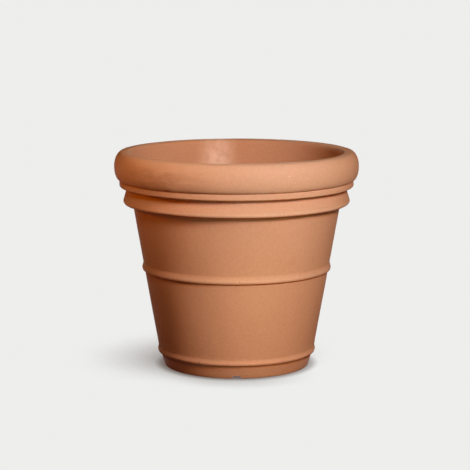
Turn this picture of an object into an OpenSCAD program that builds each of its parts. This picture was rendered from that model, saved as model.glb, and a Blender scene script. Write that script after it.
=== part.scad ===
// Round plastic planter with a rolled rim: a moulded shell and the bungs that close its drain holes.
// The shell stands on z = 0, and its axis is the Z axis. The front is towards -Y.

/* [Body] */
// Height from the ground to the crest of the rim
height = 442; // [400:1:500]
// Diameter that the outside of the body cone would have at the ground
base_d = 308; // [280:2:340]
// Slope of the body wall away from the vertical, in degrees
taper = 9.9; // [8:0.1:12]
// Thickness of the body wall, square to its surface
wall = 6; // [5:0.5:7]

/* [Rim] */
// How far the roll of the rim stands out from the body cone
roll_out = 24; // [20:0.5:30]
// Height of the roll, from the crease under it to the crest
roll_h = 57; // [50:1:64]
// Height of the widest part of the roll above the crease
roll_belly = 27.5; // [22:0.5:32]
// How far the roll tucks in between its widest part and the crease
roll_tuck = 11; // [8:0.5:14]
// Radius with which the flat crest rounds into the mouth
lip_round = 8; // [6:0.5:10]
// How far the upright face of the mouth stands in from the body's inner face, at its top
mouth_in = 7.5; // [5:0.5:9]
// Thickness of the skin round the hollow roll and the hollow collar
skin = 5; // [4:0.5:5.5]

/* [Bead and collar] */
// Height of the thin bead under the roll
bead_h = 13.5; // [11:0.5:16]
// How far the bead stands out from the body cone
bead_out = 20.5; // [18:0.5:23]
// Radius of the bead's lower edge
bead_round = 2.5; // [1.5:0.5:4]
// Height of the collar, from the underside of the bead to its own underside
collar_h = 36; // [32:0.5:42]
// How far the collar's lower part stands out from the body cone
collar_out = 19; // [17:0.5:22]
// How far the collar's top, under the bead, stands out from the body cone
neck_out = 5.5; // [5:0.5:8]
// Radius of the collar's lower edge
collar_round = 6; // [5:0.5:8]
// Radius of the hollow corners under the bead and the collar
corner_round = 4; // [2:0.5:5]

/* [Bands] */
// Height of the middle band's lower edge above the ground
mid_band_z = 199; // [150:1:240]
// Height of the middle band
mid_band_h = 15.5; // [12:0.5:20]
// How far the middle band stands out
mid_band_out = 4.5; // [3:0.5:6]
// Height of the low band
low_band_h = 12; // [11:0.5:17]
// How far the low band stands out
low_band_out = 3; // [2.5:0.5:4]
// Height of each band's widest part above its lower edge
band_ridge = 5; // [4:0.5:6]
// Radius of the lower edge of each band
band_round = 2; // [1:0.25:2]

/* [Foot] */
// Height of the foot, up to the low band
foot_h = 28; // [24:0.5:34]
// How far the foot's top is set back from the body cone
foot_in = 2; // [1:0.5:3]
// How far the foot's lower edge is set back from the body cone
foot_tuck = 5; // [4:0.5:7]
// Radius of the foot's lower edge
foot_round = 2; // [1:0.5:3]
// Width of the ring that the pot stands on
ring_w = 14; // [11:0.5:18]
// Gap between the ground and the underside of the floor
kick_up = 8; // [7:0.5:11]
// Number of drain notches through the ring
notch_count = 3; // [2:1:5]
// Width of a drain notch
notch_w = 17; // [12:0.5:22]
// Height of a drain notch
notch_h = 6; // [3:0.5:6]

/* [Inside] */
// Thickness of the floor
floor_t = 6; // [5:0.5:8]
// Radius of the corner between floor and wall
inner_corner = 28; // [24:1:34]

/* [Drain holes and bungs] */
// Diameter of a drain hole
hole_d = 20; // [14:1:24]
// Distance of the outer drain holes from the pot's axis
hole_ring_r = 88; // [70:1:98]
// Radial gap between a bung's stem and its hole
stem_gap = 0.05; // [0.02:0.01:0.1]
// How much wider the bung's flange is than the hole, all round
flange_lap = 6; // [4:0.5:8]
// Thickness of the flange
flange_t = 3; // [2:0.5:4]
// Depth of the seat that is moulded into the floor for the flange
seat_depth = 1; // [0.5:0.25:1.5]
// Gap all round between the flange and the wall of its seat
seat_gap = 1; // [0.5:0.25:2]
// How far the stem reaches below the floor
stem_below = 3; // [2:0.5:4]
// Thickness of the rubber wall round the hollow in the stem
stem_wall = 4; // [3:0.5:5]
// Thickness of the pull tab
tab_t = 4; // [3:0.5:6]
// Width of the pull tab
tab_w = 16; // [12:0.5:18]
// Height of the pull tab above the flange
tab_h = 12; // [10:0.5:15]

/* [Hidden] */
$fn = 96;

terracotta = [0.80, 0.55, 0.42];
rubber_grey = [0.16, 0.16, 0.16];

// Steps in a large arc and in a small one
large_arc = 14;
small_arc = 6;

// Heights of the edges round the rim
crease_z = height - roll_h;
belly_z = crease_z + roll_belly;
bead_z = crease_z - bead_h;
collar_z = bead_z - collar_h;
floor_z = kick_up + floor_t;

// Angles at which the roll and the bead meet in the crease between them
roll_end = 82;
bead_start = 72;
// Angle below the belly at which the roll's hollow starts to follow its skin
hollow_start = 60;
// Radius of the bead's upper edge
bead_top_round = 3;
// Angle below the horizontal at which the foot's lower edge runs into its face
foot_lean = 20;
// Angle at which the collar's lower edge runs into its sloping face
collar_lean = 12;

// Small radius at the root of the ring, under the floor
root_round = 3;
// Radius of the two upper corners of a notch
notch_corner = 2.5;
// Overlap that lets a cut pass clean through a face
cut = 1;
// Rubber left between the hollow in a stem and the flange above it
stem_roof = 1;
// Chamfer round the tip of a stem
tip_chamfer = 1.5;

// Angles of the outer drain holes, the first towards the front
hole_angles = [-90, 30, 150];

// Outside radius of the body cone at a height, and the radius of its inner face
function cone_r(z) = base_d / 2 + z * tan(taper);
function inner_r(z) = cone_r(z) - wall / cos(taper);

// Radii round the rim, each set out from the body cone
roll_r = cone_r(belly_z) + roll_out;
mouth_r = inner_r(height - lip_round) - mouth_in;
crest_r = (roll_r + mouth_r) / 2;
bead_r = cone_r(bead_z) + bead_out;
neck_r = cone_r(bead_z) + neck_out;
collar_r = cone_r(collar_z) + collar_out;

// Sloping face of the collar, between its lower edge and the corner under the bead
face_low_z = collar_z + collar_round;
face_high_z = bead_z - corner_round;
function face_r(z) = collar_r - (collar_r - neck_r) * (z - face_low_z) / (face_high_z - face_low_z);

// Radii of the foot
foot_r = cone_r(0) - foot_tuck;
ring_r = foot_r - ring_w;

// Points on an ellipse about a centre, from one angle to another
function arc(centre, radii, from, to, steps) = [
    for (i = [0 : steps])
        let (a = from + (to - from) * i / steps)
        [centre[0] + radii[0] * cos(a), centre[1] + radii[1] * sin(a)]
];

// Band with a short face over its rounded lower edge and a straight slope above, from its lower edge upwards
function band(z, h, out) = concat(
    [[cone_r(z), z]],
    arc([cone_r(z) + out - band_round, z + band_round], [band_round, band_round], -90, 0, small_arc),
    [[cone_r(z + band_ridge) + out, z + band_ridge]],
    [[cone_r(z + h), z + h]]
);

// Outside of the shell, from the ground up to the crest and over into the mouth
function foot_outline() = concat(
    arc([foot_r - foot_round, foot_round], [foot_round, foot_round], -90, -foot_lean, small_arc),
    [[cone_r(foot_h) - foot_in, foot_h]]
);

function collar_outline() = concat(
    arc([cone_r(collar_z - corner_round) + corner_round / cos(taper), collar_z - corner_round],
        [corner_round, corner_round], 180 - taper, 90, small_arc),
    arc([collar_r - collar_round, collar_z + collar_round],
        [collar_round, collar_round], -90, collar_lean, small_arc),
    arc([neck_r + corner_round, bead_z - corner_round],
        [corner_round, corner_round], 180 + collar_lean, 90, small_arc)
);

function bead_outline() = concat(
    arc([bead_r - bead_round, bead_z + bead_round], [bead_round, bead_round], -90, 0, small_arc),
    arc([bead_r - bead_top_round, crease_z - bead_top_round],
        [bead_top_round, bead_top_round], 0, bead_start, small_arc)
);

function roll_outline() = concat(
    arc([roll_r - roll_tuck, belly_z], [roll_tuck, roll_belly], -roll_end, 0, large_arc),
    arc([crest_r, belly_z], [roll_r - crest_r, height - belly_z], 0, 90, large_arc),
    arc([mouth_r + lip_round, height - lip_round], [lip_round, lip_round], 90, 180, small_arc)
);

// Inside of the shell, from the foot of the mouth's upright face down to the middle of the floor
function inside_outline() = concat(
    [[mouth_r, height - lip_round - mouth_in / tan(taper)]],
    arc([inner_r(floor_z + inner_corner) - inner_corner / cos(taper), floor_z + inner_corner],
        [inner_corner, inner_corner], -taper, -90, large_arc),
    [[0, floor_z]]
);

// Underside of the floor and the inner face of the ring
function underside_outline() = concat(
    [[0, kick_up]],
    arc([ring_r - root_round, kick_up - root_round], [root_round, root_round], 90, 0, small_arc),
    [[ring_r, 0]]
);

module shell_solid() {
    rotate_extrude()
        polygon(concat(
            foot_outline(),
            band(foot_h, low_band_h, low_band_out),
            band(mid_band_z, mid_band_h, mid_band_out),
            collar_outline(),
            bead_outline(),
            roll_outline(),
            inside_outline(),
            underside_outline()
        ));
}

// Closed hollow in the roll and the bead, between their skin and the body wall
module roll_hollow() {
    low = bead_z + skin;
    hollow_r = mouth_r + skin;
    hollow_z = (hollow_r - base_d / 2) / tan(taper);
    rotate_extrude()
        polygon(concat(
            hollow_z > low ? [[hollow_r, hollow_z]] : [],
            [[min(cone_r(low), hollow_r), low]],
            [[bead_r - 2 * skin, low]],
            [[bead_r - 2 * skin, crease_z]],
            arc([roll_r - roll_tuck, belly_z], [roll_tuck - skin, roll_belly - skin],
                -hollow_start, 0, small_arc),
            arc([crest_r, belly_z], [roll_r - crest_r - skin, height - belly_z - skin], 0, 90, large_arc),
            arc([mouth_r + lip_round, height - lip_round], [lip_round - skin, lip_round - skin],
                90, 180, small_arc)
        ));
}

// Closed hollow in the collar
module collar_hollow() {
    low = collar_z + skin;
    high = bead_z - 2 * skin;
    rotate_extrude()
        polygon([
            [cone_r(low), low],
            [face_r(low) - skin, low],
            [face_r(high) - skin, high],
            [cone_r(high), high]
        ]);
}

// Notch through the ring that lets water out from under the floor
module notch(angle) {
    side = notch_w / 2 - notch_corner;
    rotate([0, 0, angle])
        translate([ring_r - root_round - cut, 0, 0])
            rotate([90, 0, 90])
                linear_extrude(ring_w + root_round + 2 * cut + foot_tuck)
                    polygon(concat(
                        [[notch_w / 2, -cut]],
                        arc([side, notch_h - notch_corner], [notch_corner, notch_corner], 0, 90, small_arc),
                        arc([-side, notch_h - notch_corner], [notch_corner, notch_corner], 90, 180, small_arc),
                        [[-notch_w / 2, -cut]]
                    ));
}

// Places its children at each outer drain hole
module at_hole(angle) {
    translate([hole_ring_r * cos(angle), hole_ring_r * sin(angle), 0])
        children();
}

// Drain hole with the shallow seat round its mouth
module drain_hole() {
    translate([0, 0, kick_up - cut])
        cylinder(h = floor_t + 2 * cut, d = hole_d);
    translate([0, 0, floor_z - seat_depth])
        cylinder(h = seat_depth + cut, r = hole_d / 2 + flange_lap + seat_gap);
}

module pot_shell() {
    color(terracotta)
        difference() {
            shell_solid();
            roll_hollow();
            collar_hollow();
            for (i = [0 : notch_count - 1])
                notch(hole_angles[0] + i * 360 / notch_count);
            drain_hole();
            for (a = hole_angles)
                at_hole(a)
                    drain_hole();
        }
}

// Rubber bung: a flange on the seat, a hollow stem through the hole and a tab to pull it by
module bung() {
    seat_z = floor_z - seat_depth;
    tip_z = kick_up - stem_below;
    stem_r = hole_d / 2 - stem_gap;
    flange_r = hole_d / 2 + flange_lap;
    flange_z = seat_z + flange_t;
    edge = flange_t / 2;
    difference() {
        rotate_extrude()
            polygon(concat(
                [[0, tip_z]],
                [[stem_r - tip_chamfer, tip_z]],
                [[stem_r, tip_z + tip_chamfer]],
                [[stem_r, seat_z]],
                [[flange_r, seat_z]],
                arc([flange_r - edge, flange_z - edge], [edge, edge], 0, 90, small_arc),
                [[0, flange_z]]
            ));
        translate([0, 0, tip_z - cut])
            cylinder(h = seat_z - stem_roof - tip_z + cut, r = stem_r - stem_wall);
    }
    translate([0, 0, flange_z])
        pull_tab();
}

// Flat tab with a round top, standing across the middle of the flange
module pull_tab() {
    round_r = tab_w / 2;
    translate([0, tab_t / 2, 0])
        rotate([90, 0, 0])
            linear_extrude(tab_t)
                polygon(concat(
                    [[-round_r, 0]],
                    [[round_r, 0]],
                    arc([0, tab_h - round_r], [round_r, round_r], 0, 180, large_arc)
                ));
}

module outer_bung(index) {
    color(rubber_grey)
        at_hole(hole_angles[index])
            bung();
}

module drain_plug_centre() {
    color(rubber_grey)
        bung();
}

pot_shell();
drain_plug_centre();
outer_bung(0);  // drain_plug_front
outer_bung(1);  // drain_plug_rear_right
outer_bung(2);  // drain_plug_rear_left
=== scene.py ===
# Looks of a rolled-rim plastic planter: one moulded shell and the four rubber bungs in its floor.
# Everything is in metres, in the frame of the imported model: +Z up, the front towards -Y.
import math

import bmesh
import bpy
import numpy as np
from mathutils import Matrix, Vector


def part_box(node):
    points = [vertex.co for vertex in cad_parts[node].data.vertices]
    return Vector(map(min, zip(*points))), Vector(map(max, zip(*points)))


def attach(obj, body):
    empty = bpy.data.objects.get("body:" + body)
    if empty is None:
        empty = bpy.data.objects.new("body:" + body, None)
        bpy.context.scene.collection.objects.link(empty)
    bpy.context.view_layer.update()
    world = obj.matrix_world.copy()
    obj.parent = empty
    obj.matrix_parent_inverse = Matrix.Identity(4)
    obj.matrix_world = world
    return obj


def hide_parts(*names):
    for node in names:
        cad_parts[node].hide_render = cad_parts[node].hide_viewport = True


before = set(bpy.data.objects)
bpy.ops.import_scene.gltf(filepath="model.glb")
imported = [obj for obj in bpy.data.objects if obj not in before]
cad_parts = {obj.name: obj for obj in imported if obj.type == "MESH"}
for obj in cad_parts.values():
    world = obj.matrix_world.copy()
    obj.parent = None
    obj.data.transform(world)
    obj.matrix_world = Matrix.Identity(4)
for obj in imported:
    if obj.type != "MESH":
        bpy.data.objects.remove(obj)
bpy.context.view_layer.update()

MM = 0.001

# Body of the shell, with the same sizes as the solids
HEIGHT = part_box("pot_shell")[1].z
BASE_R = 154 * MM
TAPER = math.radians(9.9)
WALL = 6 * MM

# Rolled rim, with the angle in degrees at which its outer arc starts
ROLL_OUT = 24 * MM
ROLL_H = 57 * MM
ROLL_BELLY = 27.5 * MM
ROLL_TUCK = 11 * MM
ROLL_START = -82
LIP_ROUND = 8 * MM
MOUTH_IN = 7.5 * MM

# Bead and collar, with the angle in degrees at which the bead's top ends, and the lean of the collar's face
BEAD_H = 13.5 * MM
BEAD_OUT = 20.5 * MM
BEAD_ROUND = 2.5 * MM
BEAD_TOP_ROUND = 3 * MM
BEAD_TOP_END = 72
COLLAR_H = 36 * MM
COLLAR_OUT = 19 * MM
COLLAR_LEAN = 12
COLLAR_ROUND = 6 * MM
NECK_OUT = 5.5 * MM
CORNER_ROUND = 4 * MM

# Bands
MID_BAND_Z = 199 * MM
MID_BAND_H = 15.5 * MM
MID_BAND_OUT = 4.5 * MM
LOW_BAND_H = 12 * MM
LOW_BAND_OUT = 3 * MM
BAND_RIDGE = 5 * MM
BAND_ROUND = 2 * MM

# Foot and floor, with the angle in degrees at which the foot's rounding ends
FOOT_H = 28 * MM
FOOT_IN = 2 * MM
FOOT_TUCK = 5 * MM
FOOT_ROUND = 2 * MM
FOOT_ROUND_END = -20
RING_W = 14 * MM
ROOT_ROUND = 3 * MM
KICK_UP = 8 * MM
NOTCH_W = 17 * MM
NOTCH_H = 6 * MM
NOTCH_CORNER = 2.5 * MM
FLOOR_T = 6 * MM
FLOOR_Z = KICK_UP + FLOOR_T
INNER_CORNER = 28 * MM

# Drain holes and the seats round them
HOLE_R = 10 * MM
HOLE_RING_R = 88 * MM
HOLE_ANGLES = {"front": -90, "rear_right": 30, "rear_left": 150}
SEAT_R = 17 * MM
SEAT_DEPTH = 1 * MM
SEAT_Z = FLOOR_Z - SEAT_DEPTH

# Flange of a bung, with the angle in degrees at which its round edge starts
FLANGE_R = 16 * MM
FLANGE_T = 3 * MM
FLANGE_TOP = SEAT_Z + FLANGE_T
FLANGE_EDGE_START = -40
FLANGE_UNDERCUT = 0.3 * MM
GROOVE_R = 12.4 * MM
GROOVE_ROUND = 0.5 * MM

# Hollow stem of a bung, which reaches down through the hole
STEM_GAP = 0.05 * MM
STEM_WALL = 4 * MM
STEM_ROOF = 1 * MM
STEM_BELOW = 3 * MM
TIP_Z = KICK_UP - STEM_BELOW
TIP_CHAMFER = 1.5 * MM
ROOF_CHAMFER = 0.6 * MM

# Tab to pull a bung by, sunk a little into its flange
TAB_T = 4 * MM
TAB_W = 16 * MM
TAB_H = 12 * MM
TAB_SUNK = 0.6 * MM
TAB_BEVEL = 1.2 * MM

# Heights of the edges round the rim
CREASE_Z = HEIGHT - ROLL_H
BELLY_Z = CREASE_Z + ROLL_BELLY
BEAD_Z = CREASE_Z - BEAD_H
COLLAR_Z = BEAD_Z - COLLAR_H

# Fineness of the meshes, and the angle from which an edge is shaded sharp
SEGMENTS = 360
BUNG_SEGMENTS = 64
FINE_STEP = 0.3 * MM
LONGEST_STEP = 7 * MM
LARGEST_TURN = math.radians(10)
DOUBLED = 0.005 * MM
SHARP_FROM = math.radians(40)

# How far the corners of the shell's outline are softened
SOFTENING = 0.5 * MM

# Slight unevenness of the moulded surface: the length and size of its long and short waves, and how many waves
# of each kind are added up
LONG_WAVE = (90 * MM, 0.16 * MM)
SHORT_WAVE = (22 * MM, 0.045 * MM)
WAVES = 28

# The waves start at this height, and fade out within EASE of the widest places and of the top
UNEVEN_FROM = 30 * MM
WIDEST = min(*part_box("pot_shell")[1].xy) - 0.05 * MM
EASE = 0.6 * MM


# Outlines, as lists of a radius and a height

def cone_r(z):
    """Outside radius of the body cone at a height."""
    return BASE_R + z * math.tan(TAPER)


def inner_r(z):
    """Inside radius of the body's wall at a height."""
    return cone_r(z) - WALL / math.cos(TAPER)


def arc(centre, radii, start, end, steps=10):
    """Points on an ellipse about a centre, from one angle to another, in degrees."""
    return [
        (centre[0] + radii[0] * math.cos(a), centre[1] + radii[1] * math.sin(a))
        for a in np.radians(np.linspace(start, end, steps + 1))
    ]


def round_arc(centre, radius, start, end, steps=10):
    """Points on a circle about a centre."""
    return arc(centre, (radius, radius), start, end, steps)


def band_outline(z, h, out):
    """Band from its lower edge upwards: a rounded edge, a short face and a straight slope."""
    ridge_z = z + BAND_RIDGE
    return (
        [(cone_r(z), z)]
        + round_arc((cone_r(z) + out - BAND_ROUND, z + BAND_ROUND), BAND_ROUND, -90, 0)
        + [(cone_r(ridge_z) + out, ridge_z), (cone_r(z + h), z + h)]
    )


def collar_outline():
    """Collar from the corner below it up to the corner under the bead."""
    body_z = COLLAR_Z - CORNER_ROUND
    body_r = cone_r(body_z) + CORNER_ROUND / math.cos(TAPER)
    low_r = cone_r(COLLAR_Z) + COLLAR_OUT
    neck_r = cone_r(BEAD_Z) + NECK_OUT
    return (
        round_arc((body_r, body_z), CORNER_ROUND, 180 - math.degrees(TAPER), 90)
        + round_arc((low_r - COLLAR_ROUND, COLLAR_Z + COLLAR_ROUND), COLLAR_ROUND, -90, COLLAR_LEAN)
        + round_arc((neck_r + CORNER_ROUND, BEAD_Z - CORNER_ROUND), CORNER_ROUND, 180 + COLLAR_LEAN, 90)
    )


def rim_outline():
    """Bead and roll, from under the bead over the crest to the foot of the mouth's upright face."""
    bead_r = cone_r(BEAD_Z) + BEAD_OUT
    roll_r = cone_r(BELLY_Z) + ROLL_OUT
    mouth_r = inner_r(HEIGHT - LIP_ROUND) - MOUTH_IN
    crest_r = (roll_r + mouth_r) / 2
    top_r = bead_r - BEAD_TOP_ROUND
    return (
        round_arc((bead_r - BEAD_ROUND, BEAD_Z + BEAD_ROUND), BEAD_ROUND, -90, 0)
        + round_arc((top_r, CREASE_Z - BEAD_TOP_ROUND), BEAD_TOP_ROUND, 0, BEAD_TOP_END)
        + arc((roll_r - ROLL_TUCK, BELLY_Z), (ROLL_TUCK, ROLL_BELLY), ROLL_START, 0, 24)
        + arc((crest_r, BELLY_Z), (roll_r - crest_r, HEIGHT - BELLY_Z), 0, 90, 24)
        + round_arc((mouth_r + LIP_ROUND, HEIGHT - LIP_ROUND), LIP_ROUND, 90, 180)
        + [(mouth_r, HEIGHT - LIP_ROUND - MOUTH_IN / math.tan(TAPER))]
    )


def shell_outline():
    """Closed outline of the shell's wall: from the foot up, over the rim, down inside and under the floor."""
    foot_r = cone_r(0) - FOOT_TUCK
    ring_r = foot_r - RING_W
    corner_z = FLOOR_Z + INNER_CORNER
    corner_r = inner_r(corner_z) - INNER_CORNER / math.cos(TAPER)
    return (
        round_arc((foot_r - FOOT_ROUND, FOOT_ROUND), FOOT_ROUND, -90, FOOT_ROUND_END)
        + [(cone_r(FOOT_H) - FOOT_IN, FOOT_H)]
        + band_outline(FOOT_H, LOW_BAND_H, LOW_BAND_OUT)
        + band_outline(MID_BAND_Z, MID_BAND_H, MID_BAND_OUT)
        + collar_outline()
        + rim_outline()
        + round_arc((corner_r, corner_z), INNER_CORNER, -math.degrees(TAPER), -90, 20)
        + [(SEAT_R, FLOOR_Z), (SEAT_R, SEAT_Z), (HOLE_R, SEAT_Z), (HOLE_R, KICK_UP)]
        + round_arc((ring_r - ROOT_ROUND, KICK_UP - ROOT_ROUND), ROOT_ROUND, 90, 0)
        + [(ring_r, 0)]
    )


def notch_outline():
    """Notch to cut out of the foot, as an arch that reaches down past the ground."""
    half = NOTCH_W / 2
    side = half - NOTCH_CORNER
    top = NOTCH_H - NOTCH_CORNER
    return (
        [(half, -NOTCH_H)]
        + round_arc((side, top), NOTCH_CORNER, 0, 90, 6)
        + round_arc((-side, top), NOTCH_CORNER, 90, 180, 6)
        + [(-half, -NOTCH_H)]
    )


def hole_outline():
    """Drain hole and seat to cut out of the floor, from above it down to the ground."""
    above = FLOOR_Z + SEAT_Z - KICK_UP
    return [(0, above), (0, 0), (HOLE_R, 0), (HOLE_R, SEAT_Z), (SEAT_R, SEAT_Z), (SEAT_R, above)]


def bung_outline():
    """Bung without its tab: its hollow, its stem and its flange, with the groove in the flange's top."""
    stem_r = HOLE_R - STEM_GAP
    hollow_r = stem_r - STEM_WALL
    roof = SEAT_Z - STEM_ROOF
    edge = FLANGE_T / 2
    return (
        [(0, FLANGE_TOP), (0, roof), (hollow_r - ROOF_CHAMFER, roof), (hollow_r, roof - ROOF_CHAMFER)]
        + [(hollow_r, TIP_Z), (stem_r - TIP_CHAMFER, TIP_Z), (stem_r, TIP_Z + TIP_CHAMFER)]
        + [(stem_r, SEAT_Z), (FLANGE_R - FLANGE_UNDERCUT, SEAT_Z)]
        + round_arc((FLANGE_R - edge, FLANGE_TOP - edge), edge, FLANGE_EDGE_START, 90, 8)
        + round_arc((GROOVE_R, FLANGE_TOP), GROOVE_ROUND, 0, -180, 6)
    )


def tab_outline():
    """Tab with a round top."""
    half = TAB_W / 2
    foot = FLANGE_TOP - TAB_SUNK
    return [(-half, foot), (half, foot)] + round_arc((0, FLANGE_TOP + TAB_H - half), half, 0, 180, 24)


def softened(outline):
    """The closed outline with its corners rounded a little, as fine evenly spaced points."""
    points = np.array(outline + outline[:1])
    along = np.concatenate([[0], np.cumsum(np.hypot(*np.diff(points, axis=0).T))])
    at = np.linspace(0, along[-1], int(along[-1] / FINE_STEP), endpoint=False)
    fine = np.stack([np.interp(at, along, points[:, i]) for i in range(2)], 1)
    reach = int(3 * SOFTENING / FINE_STEP) + 1
    offsets = np.arange(-reach, reach + 1)
    weights = np.exp(-0.5 * (offsets * FINE_STEP / SOFTENING) ** 2)
    weights /= weights.sum()
    return sum(w * np.roll(fine, -o, axis=0) for w, o in zip(weights, offsets))


def thinned(fine):
    """The points that the outline's shape needs: close together on its curves, further apart on straights."""
    step = np.roll(fine, -1, axis=0) - fine
    heading = np.arctan2(step[:, 1], step[:, 0])
    bend = np.abs((np.diff(heading, prepend=heading[-1]) + math.pi) % (2 * math.pi) - math.pi)
    kept, bent, gone = [0], 0.0, 0.0
    for i in range(1, len(fine)):
        bent += bend[i]
        gone += math.hypot(*step[i - 1])
        if bent > LARGEST_TURN or gone > LONGEST_STEP:
            kept.append(i)
            bent, gone = 0.0, 0.0
    return fine[kept]


# Meshes

def new_object(name, data):
    """Object in the scene that holds the data."""
    thing = bpy.data.objects.new(name, data)
    bpy.context.scene.collection.objects.link(thing)
    return thing


def new_piece(name, points, faces):
    """Object with a mesh of its own."""
    mesh = bpy.data.meshes.new(name)
    mesh.from_pydata(points, [], faces)
    mesh.update()
    return new_object(name, mesh)


def get_points(piece):
    """Points of the piece's mesh, one to a row."""
    points = np.zeros(len(piece.data.vertices) * 3)
    piece.data.vertices.foreach_get("co", points)
    return points.reshape(-1, 3)


def set_points(piece, points):
    piece.data.vertices.foreach_set("co", points.ravel())
    piece.data.update()


def turn_out(piece, angle, distance=0.0):
    """Moves the mesh out along X and turns it about the Z axis, with its object left at the origin."""
    a = math.radians(angle)
    x, y, z = get_points(piece).T
    x = x + distance
    set_points(piece, np.stack([x * math.cos(a) - y * math.sin(a), x * math.sin(a) + y * math.cos(a), z], 1))


def apply_modifier(piece, modifier):
    bpy.context.view_layer.objects.active = piece
    bpy.ops.object.modifier_apply(modifier=modifier.name)


def revolve(name, outline):
    """Closed mesh of an outline turned round the Z axis, and its points."""
    count = len(outline)
    turn = np.arange(SEGMENTS) * 2 * math.pi / SEGMENTS
    r, z = outline[:, 0], outline[:, 1]
    points = np.stack([
        np.outer(np.cos(turn), r).ravel(),
        np.outer(np.sin(turn), r).ravel(),
        np.tile(z, SEGMENTS),
    ], 1)
    i, j = np.meshgrid(np.arange(SEGMENTS), np.arange(count), indexing="ij")
    ahead, up = (i + 1) % SEGMENTS, (j + 1) % count
    faces = np.stack([i * count + j, ahead * count + j, ahead * count + up, i * count + up], -1)
    return new_piece(name, points.tolist(), faces.reshape(-1, 4).tolist()), points


def revolve_solid(name, outline):
    """Solid of an outline that starts with its top and its foot on the Z axis.

    From the foot it goes outwards, and back up to the top.
    """
    count = len(outline) - 2
    points = [(0, 0, outline[0][1]), (0, 0, outline[1][1])]
    for t in np.arange(BUNG_SEGMENTS) * 2 * math.pi / BUNG_SEGMENTS:
        for r, z in outline[2:]:
            points.append((r * math.cos(t), r * math.sin(t), z))
    faces = []
    for i in range(BUNG_SEGMENTS):
        here, ahead = 2 + i * count, 2 + (i + 1) % BUNG_SEGMENTS * count
        faces.append([1, ahead, here])
        faces.append([0, here + count - 1, ahead + count - 1])
        for j in range(count - 1):
            faces.append([here + j, ahead + j, ahead + j + 1, here + j + 1])
    return new_piece(name, points, faces)


def prism(name, outline, length, bevel=0.0):
    """Outline in the XZ plane, drawn out evenly to both sides of Y = 0."""
    count = len(outline)
    near = [(x, -length / 2, z) for x, z in outline]
    far = [(x, length / 2, z) for x, z in outline]
    faces = [list(range(count)), list(range(2 * count - 1, count - 1, -1))]
    for i in range(count):
        j = (i + 1) % count
        faces.append([j, i, count + i, count + j])
    piece = new_piece(name, near + far, faces)
    if bevel:
        modifier = piece.modifiers.new("bevel", "BEVEL")
        modifier.width = bevel
        modifier.segments = 4
        modifier.limit_method = "ANGLE"
        apply_modifier(piece, modifier)
    return piece


def combine(piece, other, operation):
    """Joins another solid to the piece or cuts it out, and merges the doubled points that this leaves."""
    modifier = piece.modifiers.new("combine", "BOOLEAN")
    modifier.operation = operation
    modifier.solver = "EXACT"
    modifier.object = other
    apply_modifier(piece, modifier)
    bpy.data.objects.remove(other)
    mesh = bmesh.new()
    mesh.from_mesh(piece.data)
    bmesh.ops.remove_doubles(mesh, verts=mesh.verts, dist=DOUBLED)
    mesh.to_mesh(piece.data)
    mesh.free()


def cut_away(piece, cutters):
    """Cuts the cutters out of the piece and removes them."""
    bpy.ops.object.select_all(action="DESELECT")
    for cutter in cutters:
        cutter.select_set(True)
    bpy.context.view_layer.objects.active = cutters[0]
    bpy.ops.object.join()
    combine(piece, bpy.context.view_layer.objects.active, "DIFFERENCE")


def smooth_shading(piece):
    """Shades the piece smooth, apart from its sharp edges."""
    mesh = piece.data
    mesh.polygons.foreach_set("use_smooth", np.ones(len(mesh.polygons), bool))
    mesh.set_sharp_from_angle(angle=SHARP_FROM)


# Shell

def ripple(points, wavelength, seed):
    """Smooth seeded noise of about unit strength: waves of one scale in random directions."""
    random = np.random.default_rng(seed)
    total = np.zeros(len(points))
    for _ in range(WAVES):
        direction = random.normal(size=3)
        direction /= np.linalg.norm(direction)
        length = wavelength * random.uniform(0.7, 1.4)
        total += np.sin(points @ direction * 2 * math.pi / length + random.uniform(0, 2 * math.pi))
    return total / math.sqrt(WAVES / 2)


def make_uneven(piece, points):
    """Moves the shell's surface a little in and out, and never out past its widest places or its top."""
    normals = np.zeros(len(points) * 3)
    piece.data.vertices.foreach_get("normal", normals)
    depth = np.zeros(len(points))
    for seed, (wavelength, size) in enumerate((LONG_WAVE, SHORT_WAVE), 1):
        depth += size * np.clip(ripple(points, wavelength, seed), -2, 2)
    depth *= np.clip((points[:, 2] - UNEVEN_FROM) / UNEVEN_FROM, 0, 1)
    radii = np.hypot(points[:, 0], points[:, 1])
    room = np.minimum(WIDEST - radii, HEIGHT - points[:, 2])
    depth = np.where(depth > 0, depth * np.clip(room / EASE, 0, 1), depth)
    set_points(piece, points + normals.reshape(-1, 3) * (depth + np.minimum(room, 0))[:, None])


def make_shell():
    """Moulded shell: its outline turned round, with the outer holes and the notches of the foot cut out."""
    piece, points = revolve("moulded_shell", thinned(softened(shell_outline())))
    make_uneven(piece, points)
    cutters = []
    for place, angle in HOLE_ANGLES.items():
        notch = prism("notch_" + place, notch_outline(), 2 * RING_W)
        turn_out(notch, 90)
        turn_out(notch, angle, cone_r(0) - FOOT_TUCK - RING_W / 2)
        hole = revolve_solid("hole_" + place, hole_outline())
        turn_out(hole, angle, HOLE_RING_R)
        cutters += [notch, hole]
    cut_away(piece, cutters)
    smooth_shading(piece)
    return piece


# Bungs

def make_bung(place, angle, distance):
    """Rubber bung: a flange on the seat, a hollow stem in the hole and a tab along X to pull it by."""
    bung = revolve_solid("rubber_bung_" + place, bung_outline())
    combine(bung, prism("tab_" + place, tab_outline(), TAB_T, TAB_BEVEL), "UNION")
    a = math.radians(angle)
    set_points(bung, get_points(bung) + np.array([distance * math.cos(a), distance * math.sin(a), 0]))
    smooth_shading(bung)
    return bung


# Materials

def linear(*screen):
    """Colour given as 0 to 255 on a screen, turned into light."""
    return tuple(((c / 255 + 0.055) / 1.055) ** 2.4 if c > 10 else c / 255 / 12.92 for c in screen)


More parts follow.
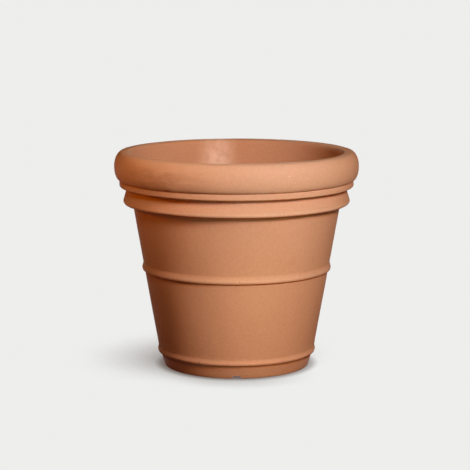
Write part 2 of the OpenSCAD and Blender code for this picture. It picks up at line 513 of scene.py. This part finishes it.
def towards(azimuth, elevation):
    """Direction from the pot. Azimuth 0 is in front of it, and 90 to its right."""
    a, e = math.radians(azimuth), math.radians(elevation)
    return Vector((math.sin(a) * math.cos(e), -math.cos(a) * math.cos(e), math.sin(e)))


class Nodes:
    """Short calls that add nodes to a new material, most of which give the socket of their result."""

    def __init__(self, name):
        self.material = bpy.data.materials.new(name)
        self.material.use_nodes = True
        self.tree = self.material.node_tree
        self.shader = self.tree.nodes["Principled BSDF"]
        self.place = self.add("ShaderNodeTexCoord").outputs["Object"]

    def add(self, kind, **values):
        node = self.tree.nodes.new(kind)
        for key, value in values.items():
            setattr(node, key, value)
        return node

    def link(self, source, target):
        self.tree.links.new(source, target)

    def noise(self, scale, detail, stretch=(1, 1, 1)):
        """Noise around one half. Its scale is in patches to the metre, and its detail in finer layers."""
        node = self.add("ShaderNodeTexNoise")
        self.link(self.vector("MULTIPLY", self.place, stretch), node.inputs["Vector"])
        node.inputs["Scale"].default_value = scale
        node.inputs["Detail"].default_value = detail
        node.inputs["Roughness"].default_value = 0.5
        return node.outputs["Fac"]

    def vector(self, operation, value, other=(0, 0, 0), result="Vector"):
        """Vector sum, product or the like of a socket and a fixed vector."""
        node = self.add("ShaderNodeVectorMath", operation=operation)
        self.link(value, node.inputs[0])
        node.inputs[1].default_value = other
        return node.outputs[result]

    def length(self, value):
        return self.vector("LENGTH", value, result="Value")

    def math(self, operation, value, other):
        node = self.add("ShaderNodeMath", operation=operation)
        for socket, given in zip(node.inputs, (value, other)):
            if isinstance(given, (int, float)):
                socket.default_value = given
            else:
                self.link(given, socket)
        return node.outputs["Value"]

    def times(self, value, other):
        return self.math("MULTIPLY", value, other)

    def ramp(self, value, low, high, from_low=0.0, from_high=1.0, course="LINEAR"):
        """Low where the value is from_low or less, and high where it is from_high or more."""
        node = self.add("ShaderNodeMapRange", interpolation_type=course)
        self.link(value, node.inputs["Value"])
        node.inputs["From Min"].default_value = from_low
        node.inputs["From Max"].default_value = from_high
        node.inputs["To Min"].default_value = low
        node.inputs["To Max"].default_value = high
        return node.outputs["Result"]

    def mix(self, share, a, b, blend="MIX"):
        node = self.add("ShaderNodeMix", data_type="RGBA", blend_type=blend)
        if isinstance(share, float):
            node.inputs["Factor"].default_value = share
        else:
            self.link(share, node.inputs["Factor"])
        for value, socket in ((a, node.inputs["A"]), (b, node.inputs["B"])):
            if isinstance(value, tuple):
                socket.default_value = (*value, 1.0)
            else:
                self.link(value, socket)
        return node.outputs["Result"]

    def tinted(self, share, colour, tint):
        """The colour multiplied by a tint, as far as the share goes."""
        return self.mix(share, colour, tint, "MULTIPLY")

    def near(self, point, radius, stretch=(1, 1, 1)):
        """1 at a point, falling softly to 0 at a distance from it, which the stretch divides."""
        away = self.vector("MULTIPLY", self.vector("SUBTRACT", self.place, point), stretch)
        return self.ramp(self.length(away), 1, 0, 0, radius, "SMOOTHSTEP")

    def height(self):
        split = self.add("ShaderNodeSeparateXYZ")
        self.link(self.place, split.inputs["Vector"])
        return split.outputs["Z"]

    def outside(self):
        """1 on the outer faces of the shell's wall and 0 on its inner ones."""
        radius = self.length(self.vector("MULTIPLY", self.place, (1, 1, 0)))
        at_foot = self.math("SUBTRACT", radius, self.times(self.height(), math.tan(TAPER)))
        return self.math("GREATER_THAN", at_foot, BASE_R - WALL / 2)

    def around(self, z, below, above):
        """1 at a height, falling softly to 0 at a distance below it and at one above it."""
        rise = self.ramp(self.height(), 0, 1, z - below, z, "SMOOTHSTEP")
        fall = self.ramp(self.height(), 1, 0, z, z + above, "SMOOTHSTEP")
        return self.math("MINIMUM", rise, fall)

    def seen(self):
        """1 where the camera looks, straight or by a reflection, and 0 for light that bounces."""
        path = self.add("ShaderNodeLightPath")
        total = path.outputs["Is Camera Ray"]
        for other in ("Is Glossy Ray", "Is Transmission Ray"):
            total = self.math("MAXIMUM", total, path.outputs[other])
        return total

    def open_sky(self, direction, reach):
        """Share of the half sky around a direction that nothing hides within a distance."""
        way = self.add("ShaderNodeCombineXYZ")
        for socket, value in zip(way.inputs, direction):
            socket.default_value = value
        node = self.add("ShaderNodeAmbientOcclusion", samples=16)
        node.inputs["Distance"].default_value = reach
        self.link(way.outputs["Vector"], node.inputs["Normal"])
        return node.outputs["AO"]

    def bump(self, height, distance, below=None):
        """Relief of a depth, over another one where that is given."""
        node = self.add("ShaderNodeBump")
        self.link(height, node.inputs["Height"])
        node.inputs["Distance"].default_value = distance
        node.inputs["Strength"].default_value = 1.0
        if below is not None:
            self.link(below, node.inputs["Normal"])
        return node.outputs["Normal"]


# Painted shade under the edges of the rim and the bands, where their shadow falls: the height, the reach below
# and above it, and the tint
PAINTED_SHADE_LINES = (
    (COLLAR_Z, 5 * MM, 3 * MM, (0.62, 0.15, 0.01)),
    (MID_BAND_Z, 3.5 * MM, 1.5 * MM, (0.60, 0.20, 0.05)),
    (BEAD_Z, 3 * MM, 1.5 * MM, (0.92, 0.42, 0.12)),
    (FOOT_H, 3 * MM, 1 * MM, (0.80, 0.42, 0.18)),
)

# Painted highlights on the ridges, paler where their slopes catch the light: the height, the reach below and
# above it, and the tint
PAINTED_RIDGE_LIGHT = (
    (COLLAR_Z + 5 * MM, 4 * MM, 6 * MM, (1.10, 1.19, 1.28)),
    (MID_BAND_Z + BAND_RIDGE, 3 * MM, 9 * MM, (1.08, 1.18, 1.29)),
    (FOOT_H + BAND_RIDGE, 3 * MM, 8 * MM, (1.16, 1.19, 1.27)),
)

# Marks on the shell, with painted shade and painted highlights among them: the middle, the reach, and what the
# reach is divided by along X, Y and Z
STREAKS = ((-150 * MM, -200 * MM, 403 * MM), 150 * MM, (1, 1, 3))
PAINTED_SHADE_UNDER_BAND = ((-105 * MM, -156 * MM, 197 * MM), 45 * MM, (1, 1, 8))
PAINTED_HIGHLIGHT_INSIDE = ((-42 * MM, 212 * MM, 402 * MM), 55 * MM, (1, 1, 0.6))
PAINTED_SHADE_INSIDE = ((205 * MM, 70 * MM, 425 * MM), 170 * MM)
PALE_SPECK = ((101.7 * MM, -228.0 * MM, 418.1 * MM), 2.2 * MM)
DARK_SPECKS = (
    ((5.7 * MM, -193.4 * MM, 205.3 * MM), 1.6 * MM),
    ((-75 * MM, -145 * MM, 32 * MM), 3.5 * MM),
    ((-18 * MM, -162 * MM, 30 * MM), 3 * MM),
)

# Faint ring-shaped water marks: their middles and their reach
WATER_MARKS = (
    (-94.7 * MM, -169.0 * MM, 227.8 * MM),
    (110.0 * MM, -160.0 * MM, 238.0 * MM),
    (153.6 * MM, -120.3 * MM, 235.3 * MM),
    (158.1 * MM, -111.5 * MM, 205.3 * MM),
)
WATER_MARK_REACH = 8 * MM

# The painted shade inside fades out between these heights, just under the crest
INSIDE_SHADE_FADES = (HEIGHT - 12 * MM, HEIGHT - 3 * MM)

# Tints of the marks and of the painted shade, as shares of red, green and blue that they leave
SOILED_AND_SHADED = (0.70, 0.60, 0.50)
INSIDE_SHADE_TINT = (0.85, 0.60, 0.36)
SPECKED = (0.60, 0.55, 0.50)
WATER_MARKED = (0.93, 0.91, 0.88)

# How much less rough the shell is inside
INSIDE_SMOOTHER = 0.18


def moulded_tone(nodes):
    """Terracotta tone with large clouds, mottling and fine specks."""
    clouds = nodes.ramp(nodes.noise(9, 3), 0, 1, 0.3, 0.7)
    mottling = nodes.ramp(nodes.noise(210, 2), 0, 1, 0.3, 0.7)
    specks = nodes.ramp(nodes.noise(420, 2), 0, 1, 0.35, 0.65)
    colour = nodes.mix(clouds, linear(209, 150, 112), linear(214, 156, 118))
    colour = nodes.mix(0.30, colour, nodes.mix(mottling, linear(201, 140, 100), linear(220, 165, 130)))
    return nodes.mix(0.35, colour, nodes.mix(specks, linear(206, 145, 105), linear(215, 161, 124)))


def streaks_and_painted_light(nodes, colour, outside):
    """The colour with streaks, painted shade under edges and in the mouth, and painted highlights on ridges
    and inside.
    """
    # Painted shade under the edges of the rim and the bands, and painted highlights on the ridges
    for z, below, above, tint in PAINTED_SHADE_LINES + PAINTED_RIDGE_LIGHT:
        colour = nodes.tinted(nodes.times(outside, nodes.around(z, below, above)), colour, tint)
    streaks = nodes.ramp(nodes.noise(35, 4, (1, 1, 3)), 0, 1, 0.3, 0.75)
    colour = nodes.tinted(nodes.times(streaks, nodes.near(*STREAKS)), colour, SOILED_AND_SHADED)
    # Painted shade under the middle band on the left side
    colour = nodes.tinted(nodes.near(*PAINTED_SHADE_UNDER_BAND), colour, SOILED_AND_SHADED)
    # Painted highlight of the key lamp on the inner back wall
    bloom_and_highlight = nodes.times(nodes.near(*PAINTED_HIGHLIGHT_INSIDE), nodes.ramp(nodes.noise(60, 4), 0.45, 0.95, 0.35, 0.6))
    colour = nodes.mix(bloom_and_highlight, colour, linear(250, 210, 180))
    # Painted shade on the inner wall at the right, under the crest
    inside_shade = nodes.times(nodes.near(*PAINTED_SHADE_INSIDE), nodes.math("SUBTRACT", 1, outside))
    inside_shade = nodes.times(inside_shade, nodes.ramp(nodes.height(), 1, 0, *INSIDE_SHADE_FADES))
    return nodes.tinted(inside_shade, colour, INSIDE_SHADE_TINT)


def marked(nodes, colour):
    """The colour with single dark and pale specks, and with water marks."""
    for speck in DARK_SPECKS:
        colour = nodes.tinted(nodes.near(*speck), colour, SPECKED)
    colour = nodes.mix(nodes.near(*PALE_SPECK), colour, linear(236, 190, 160))
    for middle in WATER_MARKS:
        disc = nodes.near(middle, WATER_MARK_REACH)
        ring = nodes.math("MINIMUM", nodes.ramp(disc, 0, 1, 0.1, 0.4), nodes.ramp(disc, 1, 0, 0.4, 0.8))
        colour = nodes.tinted(ring, colour, WATER_MARKED)
    return colour


def terracotta():
    """Matte moulded polyethylene in a terracotta tone with marks, painted shade and painted highlights, and a
    faint relief.
    """
    nodes = Nodes("terracotta_plastic")
    colour = moulded_tone(nodes)
    outside = nodes.outside()
    colour = marked(nodes, streaks_and_painted_light(nodes, colour, outside))
    nodes.link(colour, nodes.shader.inputs["Base Color"])
    moulded = nodes.ramp(nodes.noise(60, 4), 0.52, 0.64, 0.3, 0.7)
    smoother = nodes.ramp(outside, INSIDE_SMOOTHER, 0)
    nodes.link(nodes.math("SUBTRACT", moulded, smoother), nodes.shader.inputs["Roughness"])
    coarse = nodes.bump(nodes.noise(130, 3), 0.25 * MM)
    nodes.link(nodes.bump(nodes.noise(900, 3), 0.05 * MM, coarse), nodes.shader.inputs["Normal"])
    nodes.shader.inputs["IOR"].default_value = 1.5
    nodes.shader.inputs["Specular IOR Level"].default_value = 0.03
    return nodes.material


def bung_rubber():
    """Dull black rubber with a dusty haze and a fine grain."""
    nodes = Nodes("bung_rubber")
    bloom_and_highlight = nodes.ramp(nodes.noise(160, 4), 0, 1, 0.35, 0.7)
    nodes.link(nodes.mix(bloom_and_highlight, linear(40, 40, 41), linear(58, 57, 56)), nodes.shader.inputs["Base Color"])
    nodes.link(nodes.ramp(nodes.noise(500, 3), 0.55, 0.75), nodes.shader.inputs["Roughness"])
    nodes.link(nodes.bump(nodes.noise(1600, 2), 0.05 * MM), nodes.shader.inputs["Normal"])
    nodes.shader.inputs["IOR"].default_value = 1.52
    return nodes.material


# Shades on the floor: to the left of the pot, in front of it and close round it. Each has the middle of the
# half sky that counts, the distance within which something hides it, the level of the deepest shade, and the
# open shares where that level is reached and where the shade ends.
LEFT_SHADE = (towards(45, 60), 340 * MM, 0.26, 0.31, 0.74)
FRONT_SHADE = (towards(180, 0), 120 * MM, 0.47, 0.41, 0.71)
CLOSE_SHADE = ((0, 0, 1), 22 * MM, 0.6, 0.6, 1)


def floor_paper():
    """Off-white studio floor with a soft shadow round the pot.

    It shines for the camera alone, and throws next to no light back on the pot.
    """
    nodes = Nodes("floor_paper")
    left, front, close = [
        nodes.ramp(nodes.open_sky(direction, reach), level, 1, deepest, end)
        for direction, reach, level, deepest, end in (LEFT_SHADE, FRONT_SHADE, CLOSE_SHADE)
    ]
    shade = nodes.times(nodes.times(left, front), close)
    glow = nodes.mix(shade, linear(80, 52, 36), linear(238, 238, 236))
    nodes.link(glow, nodes.shader.inputs["Emission Color"])
    nodes.link(nodes.seen(), nodes.shader.inputs["Emission Strength"])
    nodes.shader.inputs["Base Color"].default_value = (*linear(8, 8, 8), 1)
    nodes.shader.inputs["Roughness"].default_value = 1.0
    nodes.shader.inputs["Specular IOR Level"].default_value = 0.0
    return nodes.material


def cover(piece, material):
    """Gives the piece one material."""
    piece.data.materials.clear()
    piece.data.materials.append(material)


# The pot

shell = make_shell()
cover(shell, terracotta())
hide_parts("pot_shell")
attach(shell, "shell")
pieces = [shell]

rubber = bung_rubber()
for place, angle in {"centre": 0, **HOLE_ANGLES}.items():
    bung = make_bung(place, angle, 0 if place == "centre" else HOLE_RING_R)
    cover(bung, rubber)
    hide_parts("drain_plug_" + place)
    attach(bung, "plug_" + place)
    pieces.append(bung)

# Studio

CAMERA_AT = Vector((-0.0031, -3.7714, 0.8719))
CAMERA_TO = Vector((-0.0031, 0, 0.2676))
LENS_MM = 142.24
SENSOR_MM = 36
FLOOR_REACH = 60
SIGHT_REACH = 200
AIM = Vector((0, 0, 0.3))


def put(thing, at, rotation):
    """Puts a camera or lamp in its place."""
    thing.location = at
    thing.rotation_mode = "QUATERNION"
    thing.rotation_quaternion = rotation


camera = new_object("camera", bpy.data.cameras.new("camera"))
put(camera, CAMERA_AT, (CAMERA_TO - CAMERA_AT).to_track_quat("-Z", "Y"))
camera.data.lens = LENS_MM
camera.data.sensor_width = SENSOR_MM
camera.data.clip_end = SIGHT_REACH
bpy.context.scene.camera = camera

corners = [(-1, -1), (1, -1), (1, 1), (-1, 1)]
floor = new_piece("floor", [(x * FLOOR_REACH, y * FLOOR_REACH, 0) for x, y in corners], [[0, 1, 2, 3]])
cover(floor, floor_paper())

pot_group = bpy.data.collections.new("pot_group")
for piece in pieces:
    pot_group.objects.link(piece)


def lamp(name, kind, azimuth, elevation, distance, colour):
    """Lamp that points at the middle of the pot. It lights the pot alone, and only the pot blocks it."""
    data = bpy.data.lights.new(name, kind)
    data.color = colour
    thing = new_object(name, data)
    back = towards(azimuth, elevation)
    put(thing, AIM + distance * back, back.to_track_quat("Z", "Y"))
    thing.light_linking.receiver_collection = pot_group
    thing.light_linking.blocker_collection = pot_group
    thing.visible_camera = False
    return data


def near_lamp(name, azimuth, elevation, distance, size, level, colour):
    """Round soft box. At level 1 a white matte surface at its aim, square to it, would render white."""
    data = lamp(name, "AREA", azimuth, elevation, distance, colour)
    data.shape = "DISK"
    data.size = size
    data.energy = level * (math.pi * distance) ** 2


def far_lamp(name, azimuth, elevation, width, level, colour):
    """Light from far away, which fills a width of the sky in degrees. Its level means the same."""
    data = lamp(name, "SUN", azimuth, elevation, 0, colour)
    data.angle = math.radians(width)
    data.energy = level * math.pi


# The lamps' azimuth, elevation, distance, size, level and colour. The last two light the crest and the back.
near_lamp("key", 31, 26, 1.23, 0.31, 0.5, (0.37, 0.84, 1))
near_lamp("warm_key", 30, 25, 2.5, 0.62, 0.572, (1, 0.33, 0))
near_lamp("close_key", 20, 22, 0.8, 0.2, 0.27, (0.29, 0.56, 1))
near_lamp("left_fill", -32, 36, 0.65, 0.16, 0.13, (0.91, 1, 0.88))
near_lamp("low_fill", 17, -14, 0.55, 0.14, 0.058, (1, 1, 0.36))
near_lamp("foot_fill", 5, -32, 0.5, 0.125, 0.048, (1, 0.95, 0.95))
near_lamp("warm_left", -60, 20, 0.75, 0.19, 0.142, (1, 0.33, 0))
far_lamp("warm_bounce", 0, -80, 110, 0.229, (1, 0, 0))
near_lamp("lip_light", 180, 30, 2.0, 0.5, 0.12, (1, 0.65, 0.42))
near_lamp("back_light", 180, -4, 3.0, 0.9, 0.6, (1, 0.96, 0.92))

# The world gives no light of its own
world = bpy.data.worlds.new("studio")
bpy.context.scene.world = world
world.use_nodes = True
world.node_tree.nodes["Background"].inputs["Strength"].default_value = 0.0

bpy.context.scene.view_settings.view_transform = "Standard"
